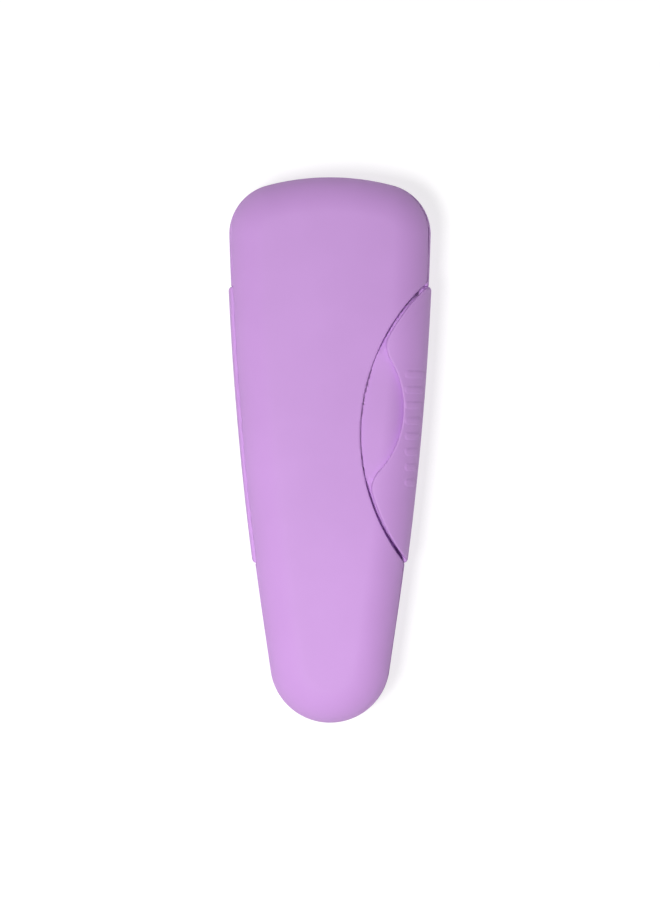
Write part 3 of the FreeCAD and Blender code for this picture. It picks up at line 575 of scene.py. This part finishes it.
outer_bristles = tuft_mesh("outer_bristles", OUTER, OUTER_TIP, seed=3)
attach(outer_bristles, "brush_arm")
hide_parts("outer_tufts")
centre_bristles = tuft_mesh("centre_bristles", CENTRE, CENTRE_TIP, seed=4)
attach(centre_bristles, "brush_arm")
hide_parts("centre_tufts")

# %% [markdown]
# ## Materials
# Every finish is worked out from noise, so it has no seams and needs no image. The moulded
# plastic has three things at three sizes: a colour that drifts by a percent or two over
# centimetres, a gloss that changes over millimetres, and a spark-eroded grain, finer than a fifth
# of a millimetre, that only the bump carries.


# %% Helpers for node materials
def new_material(name, roughness, base=None, **sockets):
    """A Principled material with its constant sockets set, and its nodes at hand."""
    material = bpy.data.materials.new(name)
    material.use_nodes = True
    shader = material.node_tree.nodes["Principled BSDF"]
    shader.inputs["Roughness"].default_value = roughness
    if base:
        shader.inputs["Base Color"].default_value = (*base, 1)
    for socket, value in sockets.items():
        shader.inputs[socket.replace("_", " ")].default_value = value
    return material, material.node_tree, shader


def noise(tree, scale, detail=2.0, stretch=(1, 1, 1)):
    """Noise in the piece's own metres: at a scale of 1000 its features are about 1 mm wide."""
    coordinates = tree.nodes.new("ShaderNodeTexCoord")
    mapping = tree.nodes.new("ShaderNodeMapping")
    mapping.inputs["Scale"].default_value = stretch
    texture = tree.nodes.new("ShaderNodeTexNoise")
    texture.inputs["Scale"].default_value = scale
    texture.inputs["Detail"].default_value = detail
    tree.links.new(coordinates.outputs["Object"], mapping.inputs["Vector"])
    tree.links.new(mapping.outputs["Vector"], texture.inputs["Vector"])
    return texture.outputs["Fac"]


def ramp(tree, factor, stops):
    """A colour ramp through two (place, colour) stops."""
    node = tree.nodes.new("ShaderNodeValToRGB")
    for element, (place, colour) in zip(node.color_ramp.elements, stops):
        element.position = place
        element.color = (*colour, 1)
    tree.links.new(factor, node.inputs["Fac"])
    return node.outputs["Color"]


def spread(tree, factor, low, high):
    """Maps a 0 to 1 factor onto low to high."""
    node = tree.nodes.new("ShaderNodeMapRange")
    node.inputs["To Min"].default_value = low
    node.inputs["To Max"].default_value = high
    tree.links.new(factor, node.inputs["Value"])
    return node.outputs["Result"]


def bump(tree, shader, height, distance, strength):
    """Raises the surface by a height factor times a distance in metres."""
    node = tree.nodes.new("ShaderNodeBump")
    node.inputs["Distance"].default_value = distance
    node.inputs["Strength"].default_value = strength
    tree.links.new(height, node.inputs["Height"])
    tree.links.new(node.outputs["Normal"], shader.inputs["Normal"])


def tint(colour, factor):
    """A lighter or darker version of a colour."""
    return tuple(min(1.0, channel * factor) for channel in colour)


print("a lighter grey:", tint((0.5, 0.5, 0.5), 1.2))

# %% [markdown]
# The case, the grips and the root of the arm are moulded in lavender, the stem in ivory, and the
# cradle, bushes and washers in natural acetal, which runs on steel without grease. They differ
# only in colour, gloss and how deep the grain is, so one function makes them all.

# %% Moulded plastics
LAVENDER = (0.60, 0.327, 0.725)
IVORY, NATURAL = (0.80, 0.77, 0.70), (0.72, 0.71, 0.67)
GRAIN_HEIGHT = 0.03 * MM


def moulded_plastic(name, colour, roughness, grain=0.35):
    material, tree, shader = new_material(name, roughness, Specular_IOR_Level=0.16)
    drift = noise(tree, scale=60, detail=3)
    tree.links.new(
        ramp(tree, drift, [(0.3, tint(colour, 0.975)), (0.7, tint(colour, 1.02))]),
        shader.inputs["Base Color"])
    gloss = spread(tree, noise(tree, scale=900), low=roughness - 0.04, high=roughness + 0.05)
    tree.links.new(gloss, shader.inputs["Roughness"])
    bump(tree, shader, noise(tree, scale=6500, detail=3), GRAIN_HEIGHT, strength=grain)
    return material


case_plastic = moulded_plastic("case_plastic", LAVENDER, roughness=0.56)
grip_plastic = moulded_plastic("grip_plastic", LAVENDER, roughness=0.52)
arm_plastic = moulded_plastic("arm_plastic", tint(LAVENDER, 0.85), roughness=0.46)
stem_plastic = moulded_plastic("stem_plastic", IVORY, roughness=0.3, grain=0.12)
acetal = moulded_plastic("acetal", NATURAL, roughness=0.38, grain=0.2)
print("moulded in:", case_plastic.name, grip_plastic.name, arm_plastic.name, stem_plastic.name,
      acetal.name)

# %% [markdown]
# The metal parts are small and plain, so their marks carry them. A turned pin has fine rings
# round it, rolled spring strip has lines along it, and brass plates cut from strip dull to an
# uneven brown-gold.

# %% Metals
MARK_HEIGHT = 0.02 * MM


def worked_metal(name, colour, roughness, stretch, marks):
    """A metal whose tool marks are noise stretched along the way that the tool went."""
    material, tree, shader = new_material(name, roughness, Metallic=1.0)
    lines = noise(tree, scale=900, detail=4, stretch=stretch)
    tarnish = noise(tree, scale=500, detail=3)
    tree.links.new(ramp(tree, tarnish, [(0.3, tint(colour, 0.9)), (0.7, colour)]),
                   shader.inputs["Base Color"])
    gloss = spread(tree, lines, low=roughness - 0.08, high=roughness + 0.12)
    tree.links.new(gloss, shader.inputs["Roughness"])
    bump(tree, shader, lines, MARK_HEIGHT, strength=marks)
    return material


turned_steel = worked_metal("turned_steel", (0.62, 0.62, 0.63), roughness=0.26,
                            stretch=(14, 0.4, 0.4), marks=0.5)
sprung_steel = worked_metal("sprung_steel", (0.56, 0.56, 0.58), roughness=0.32,
                            stretch=(10, 0.3, 1), marks=0.45)
brass = worked_metal("brass", (0.72, 0.53, 0.25), roughness=0.34, stretch=(2, 2, 0.5), marks=0.3)
print("worked in:", turned_steel.name, sprung_steel.name, brass.name)

# %% [markdown]
# Nylon filaments pass light on from one to the next, so a white tuft stays white inside. Very pale
# colours stand for that here, with a faint coat for the line of light that each filament carries.


# %% Nylon
def nylon(name, colour, streak_scale):
    material, tree, shader = new_material(name, 0.3, Coat_Weight=0.15)
    streak = noise(tree, streak_scale, stretch=(1, 1, 0.08))
    tree.links.new(ramp(tree, streak, [(0.35, tint(colour, 0.9)), (0.65, colour)]),
                   shader.inputs["Base Color"])
    gloss = spread(tree, noise(tree, scale=2500), low=0.25, high=0.4)
    tree.links.new(gloss, shader.inputs["Roughness"])
    return material


outer_nylon = nylon("outer_nylon", (0.66, 0.40, 0.80), streak_scale=700)
centre_nylon = nylon("centre_nylon", (0.97, 0.97, 0.98), streak_scale=740)
print("drawn in:", outer_nylon.name, centre_nylon.name)

# %% [markdown]
# The small hidden parts keep their CAD meshes. A narrow bevel breaks their edges, as tumbling or
# moulding would, so that they catch a line of light instead of meeting like paper.

# %% Put the finishes on
DRESSED = {
    front_cover: case_plastic, back_case: case_plastic,
    GRIPS[0]: grip_plastic, GRIPS[1]: grip_plastic,
    arm_root: arm_plastic, stem: stem_plastic,
    outer_bristles: outer_nylon, centre_bristles: centre_nylon,
}
CARRIED = {
    "pivot_cradle": acetal, "cradle_screws": turned_steel, "hinge_pin": turned_steel,
    "pin_clips": sprung_steel, "thrust_washers": acetal, "detent_leaf": sprung_steel,
    "leaf_rivets": brass, "swivel_screw": turned_steel, "swivel_washer": acetal,
    "hinge_bushes": acetal, "tuft_anchors": brass,
}
BROKEN_EDGE = {"pivot_cradle": 0.3, "hinge_pin": 0.15, "swivel_screw": 0.15,
               "cradle_screws": 0.12, "swivel_washer": 0.08, "thrust_washers": 0.08}
SHARP = math.radians(40)                # edges that turn by more than this get the bevel
for piece, material in DRESSED.items():
    piece.data.materials.append(material)
for name, material in CARRIED.items():
    NODES[name].data.materials.clear()
    NODES[name].data.materials.append(material)
for name, width in BROKEN_EDGE.items():
    edge = NODES[name].modifiers.new("broken_edge", "BEVEL")
    edge.width = width * MM
    edge.segments = 2
    edge.limit_method = "ANGLE"
    edge.angle_limit = SHARP
    edge.harden_normals = True
print(len(DRESSED), "pieces and", len(CARRIED), "CAD nodes dressed")

# %% [markdown]
# ## Floor
# The brush lies on a lit table, the white glowing surface that small products are laid on for a
# catalogue. A glow hides the shadow that a plain white floor would show. It is a little weaker
# near the brush, because light from below would wash out the case's rounded edges.

# %% Lay the table
TABLE_HALF, TABLE_DROP = 3.0, 0.0002    # metres; the drop keeps it clear of the case's back
TABLE_GREY = (0.3, 0.3, 0.3)
GLOW = {"From Min": 0.03, "From Max": 0.5, "To Min": 0.76, "To Max": 1.0}
table = bpy.data.meshes.new("floor")
table.from_pydata([(-TABLE_HALF, -TABLE_HALF, 0), (TABLE_HALF, -TABLE_HALF, 0),
                   (TABLE_HALF, TABLE_HALF, 0), (-TABLE_HALF, TABLE_HALF, 0)],
                  [], [(0, 1, 2, 3)])
floor = bpy.data.objects.new("floor", table)
bpy.context.collection.objects.link(floor)
light_table, tree, shader = new_material("light_table", 0.9, TABLE_GREY)
shader.inputs["Emission Color"].default_value = (1, 1, 1, 1)
place = tree.nodes.new("ShaderNodeTexCoord").outputs["Object"]
away = tree.nodes.new("ShaderNodeVectorMath")
away.operation = "LENGTH"
tree.links.new(place, away.inputs[0])
glow = tree.nodes.new("ShaderNodeMapRange")
for socket, value in GLOW.items():
    glow.inputs[socket].default_value = value
tree.links.new(away.outputs["Value"], glow.inputs["Value"])
tree.links.new(glow.outputs["Result"], shader.inputs["Emission Strength"])
table.materials.append(light_table)
floor.location.z = -TABLE_DROP
print("table, m:", 2 * TABLE_HALF, "square")

# %% [markdown]
# ## Light
# A small softbox high above, a little to the left and towards the narrow end, lights the front
# nearly square on, so every rounded edge falls off evenly on its way down. Its beam is narrowed and
# aimed at the narrow end, so the wide end is a little darker. A second, very weak one fills from
# the narrow end. The world is dark overhead and bright only at the horizon, where the sides of the
# case face it. That keeps them from going grey, and keeps the background white in a low view.

# %% Place the lights
WALLS, CEILING = (0.95, 0.95, 0.95), (0.05, 0.05, 0.05)
WALLS_END, CEILING_START = 0.06, 0.1    # heights of the view's direction, from 0 to 1
world = bpy.data.worlds.new("studio")
world.use_nodes = True
tree = world.node_tree
way = tree.nodes.new("ShaderNodeTexCoord").outputs["Generated"]
height = tree.nodes.new("ShaderNodeSeparateXYZ")
tree.links.new(way, height.inputs["Vector"])
room = ramp(tree, height.outputs["Z"], [(WALLS_END, WALLS), (CEILING_START, CEILING)])
tree.links.new(room, tree.nodes["Background"].inputs["Color"])
bpy.context.scene.world = world


def softbox(name, place, aim, size, watts, spread_angle=180):
    """A square lamp of a size in metres, turned to face the point that it is aimed at."""
    lamp = bpy.data.lights.new(name, "AREA")
    lamp.size, lamp.energy, lamp.spread = size, watts, math.radians(spread_angle)
    holder = bpy.data.objects.new(name, lamp)
    bpy.context.collection.objects.link(holder)
    holder.location = place
    holder.rotation_euler = (Vector(aim) - Vector(place)).to_track_quat("-Z", "Y").to_euler()
    print(name, "of", watts, "W")


middle = (CAD_BOX[0] + CAD_BOX[1]) / 2
softbox("key", place=(-0.14, -0.09, 0.7), aim=middle - Vector((0.02, 0.11, 0)),
        size=0.13, watts=1.33, spread_angle=95)
softbox("low_fill", place=(-0.05, -0.22, 0.42), aim=middle - Vector((0, 0.06, 0)),
        size=0.12, watts=0.07)

# %% [markdown]
# ## Camera
# It looks straight down on the front with a long lens, which keeps the outline nearly as it is
# drawn. Its distance follows from how much of the table the frame should take in at the height
# where the case is widest.

# %% Place the camera
FRAME_HEIGHT, FRAME_LEVEL, LENS = 0.182, 0.014, 150     # metres, metres and millimetres
camera_data = bpy.data.cameras.new("camera")
camera_data.lens = LENS
camera = bpy.data.objects.new("camera", camera_data)
bpy.context.collection.objects.link(camera)
distance = FRAME_HEIGHT * camera_data.lens / camera_data.sensor_width
camera.location = (middle.x, middle.y, FRAME_LEVEL + distance)
bpy.context.scene.camera = camera
bpy.context.scene.view_settings.view_transform = "Standard"
print("camera", round(distance, 3), "m above the level where the case is widest")
